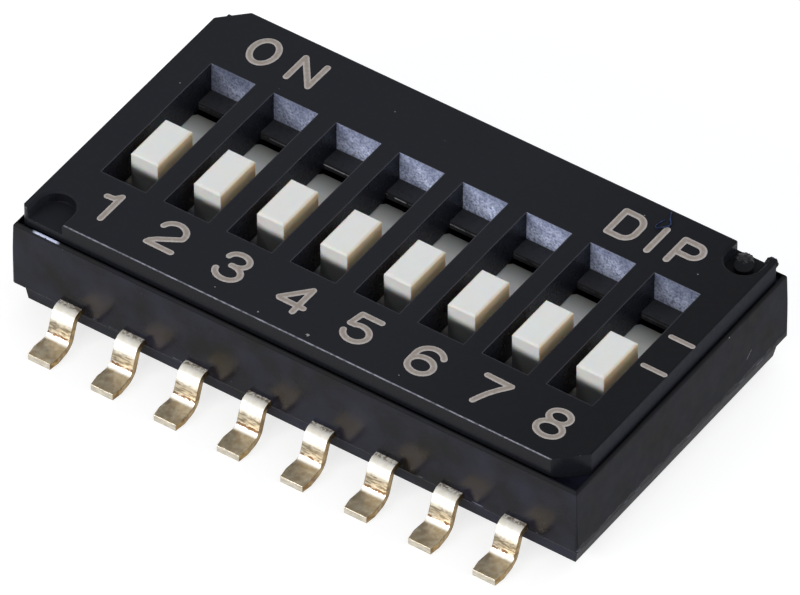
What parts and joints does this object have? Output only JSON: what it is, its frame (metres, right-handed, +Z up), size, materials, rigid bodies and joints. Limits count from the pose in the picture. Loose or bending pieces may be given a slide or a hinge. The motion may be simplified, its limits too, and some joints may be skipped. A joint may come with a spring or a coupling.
{
  "type": "slide switch bank",
  "caption": "Half-pitch slide DIP switch for surface mounting: a row of small recessed slides in a black housing with gull-wing leads along both long sides.",
  "frame": {"origin": "centre of the row, on the plane the solder feet stand on", "axes": "+X along the row from switch 1 to switch 8, +Y towards the ON side, +Z up out of the board"},
  "size_m": [0.0114, 0.0082, 0.0023],
  "materials": {
    "base_plastic": "satin black moulding",
    "cover_plastic": "black moulding",
    "slider_plastic": "satin white",
    "contact_metal": "gilt spring strip",
    "lead_metal": "gold plated, satin"
  },
  "bodies": {
    "housing": {"base": "base_plastic", "cover": "cover_plastic", "near_lead_1": "lead_metal", "near_lead_2": "lead_metal", "near_lead_3": "lead_metal", "near_lead_4": "lead_metal", "near_lead_5": "lead_metal", "near_lead_6": "lead_metal", "near_lead_7": "lead_metal", "near_lead_8": "lead_metal", "far_lead_1": "lead_metal", "far_lead_2": "lead_metal", "far_lead_3": "lead_metal", "far_lead_4": "lead_metal", "far_lead_5": "lead_metal", "far_lead_6": "lead_metal", "far_lead_7": "lead_metal", "far_lead_8": "lead_metal"},
    "slide_1": {"slider_1": "slider_plastic", "contact_1": "contact_metal"},
    "slide_2": {"slider_2": "slider_plastic", "contact_2": "contact_metal"},
    "slide_3": {"slider_3": "slider_plastic", "contact_3": "contact_metal"},
    "slide_4": {"slider_4": "slider_plastic", "contact_4": "contact_metal"},
    "slide_5": {"slider_5": "slider_plastic", "contact_5": "contact_metal"},
    "slide_6": {"slider_6": "slider_plastic", "contact_6": "contact_metal"},
    "slide_7": {"slider_7": "slider_plastic", "contact_7": "contact_metal"},
    "slide_8": {"slider_8": "slider_plastic", "contact_8": "contact_metal"}
  },
  "joints": [
    {"name": "slide_1_travel", "type": "slide", "parent": "housing", "child": "slide_1", "axis": [0, 1, 0], "range_m": [0, 0.00096]},
    {"name": "slide_2_travel", "type": "slide", "parent": "housing", "child": "slide_2", "axis": [0, 1, 0], "range_m": [0, 0.00096]},
    {"name": "slide_3_travel", "type": "slide", "parent": "housing", "child": "slide_3", "axis": [0, 1, 0], "range_m": [0, 0.00096]},
    {"name": "slide_4_travel", "type": "slide", "parent": "housing", "child": "slide_4", "axis": [0, 1, 0], "range_m": [0, 0.00096]},
    {"name": "slide_5_travel", "type": "slide", "parent": "housing", "child": "slide_5", "axis": [0, 1, 0], "range_m": [0, 0.00096]},
    {"name": "slide_6_travel", "type": "slide", "parent": "housing", "child": "slide_6", "axis": [0, 1, 0], "range_m": [0, 0.00096]},
    {"name": "slide_7_travel", "type": "slide", "parent": "housing", "child": "slide_7", "axis": [0, 1, 0], "range_m": [0, 0.00096]},
    {"name": "slide_8_travel", "type": "slide", "parent": "housing", "child": "slide_8", "axis": [0, 1, 0], "range_m": [0, 0.00096]}
  ]
}
